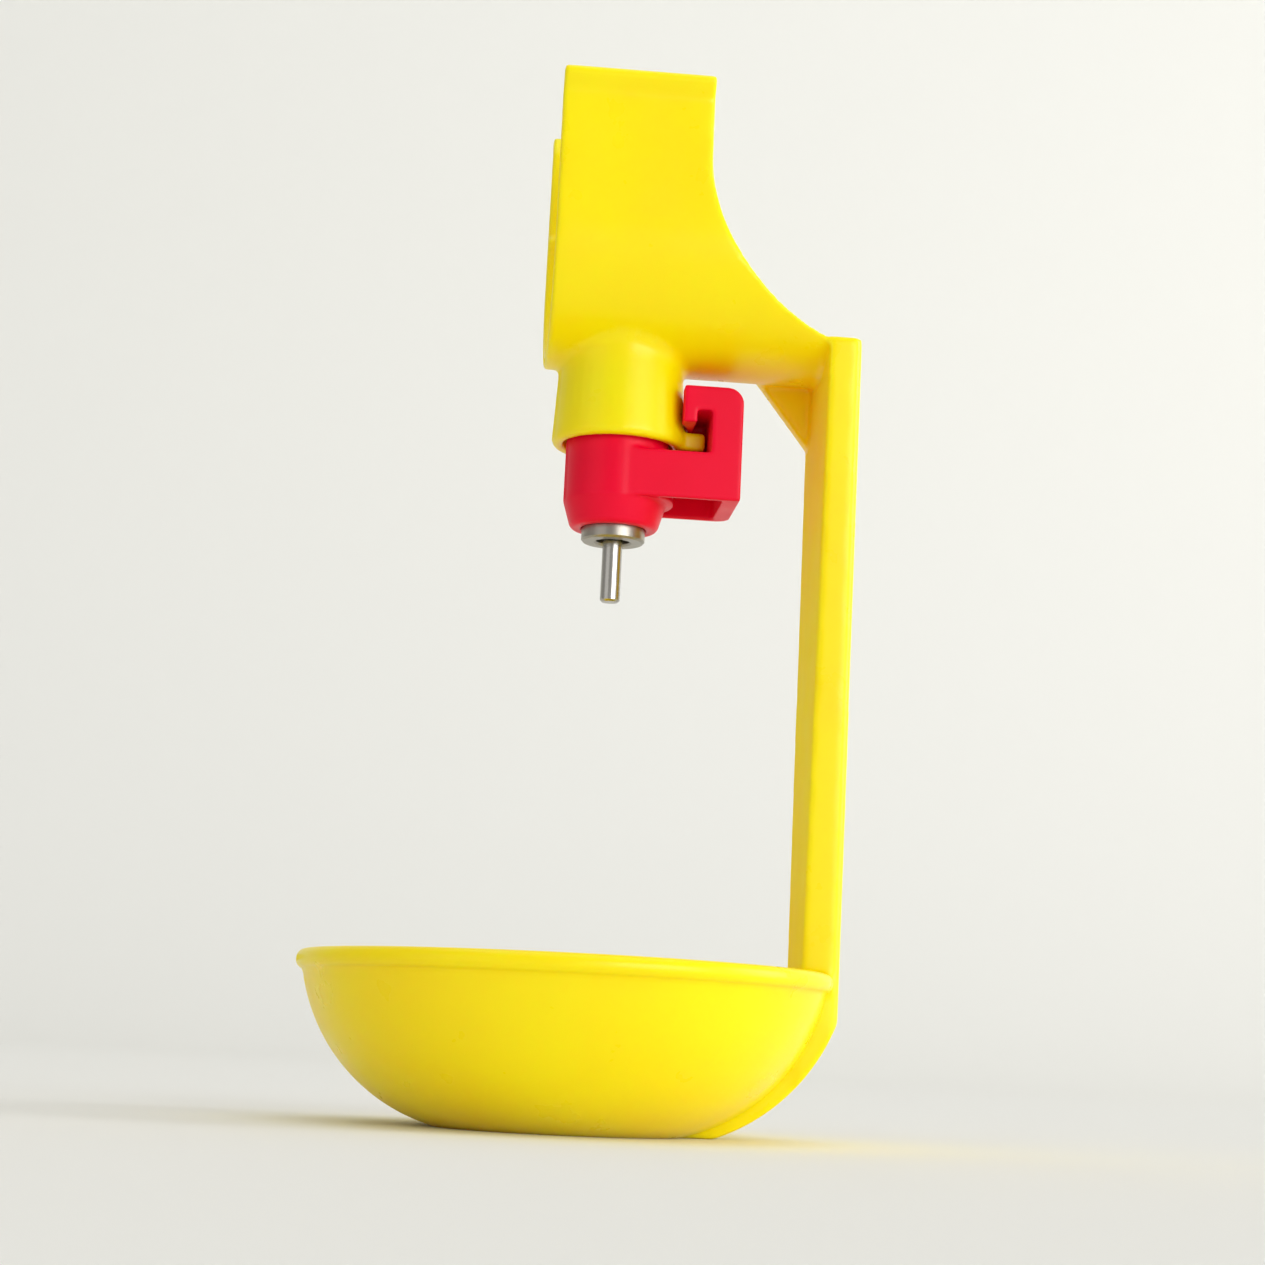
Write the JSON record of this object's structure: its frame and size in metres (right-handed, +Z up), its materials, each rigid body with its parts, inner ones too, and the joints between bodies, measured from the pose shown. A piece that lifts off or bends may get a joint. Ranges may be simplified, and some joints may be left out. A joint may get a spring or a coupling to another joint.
{
  "type": "poultry drinking cup",
  "caption": "Nipple drinker for poultry: a yellow hanger with pipe saddle, stem and drip cup, and a red twist-lock nipple with a steel seat and trigger pin.",
  "frame": {"origin": "On the axis of the water pipe, straight above the nipple.", "axes": "X runs along the pipe towards the stem, Y runs from the front wall of the saddle to the back wall, Z is up."},
  "size_m": [0.0656, 0.0652, 0.131],
  "materials": {
    "yellow_plastic": "moulded, glossy",
    "red_plastic": "moulded, glossy",
    "stainless_steel": "turned",
    "seal_rubber": "moulded, matte"
  },
  "bodies": {
    "hanger": {"hanger": "yellow_plastic"},
    "nipple": {"nipple_body": "red_plastic", "pipe_seal": "seal_rubber", "valve_seat": "stainless_steel", "seat_ring_seal": "seal_rubber", "ball_ring": "stainless_steel"},
    "ball": {"valve_ball": "stainless_steel"},
    "pin": {"trigger_pin": "stainless_steel"}
  },
  "joints": [
    {"name": "nipple_twist", "type": "hinge", "parent": "hanger", "child": "nipple", "pos_m": [0, 0, -0.0246], "axis": [0, 0, 1], "range_deg": [0, 50]},
    {"name": "valve_lift", "type": "slide", "parent": "nipple", "child": "ball", "axis": [0, 0, 1], "range_m": [0, 0.001]},
    {"name": "pin_tilt", "type": "hinge", "parent": "ball", "child": "pin", "pos_m": [0, 0, -0.03289], "axis": [0, 1, 0], "range_deg": [-8, 8]}
  ]
}
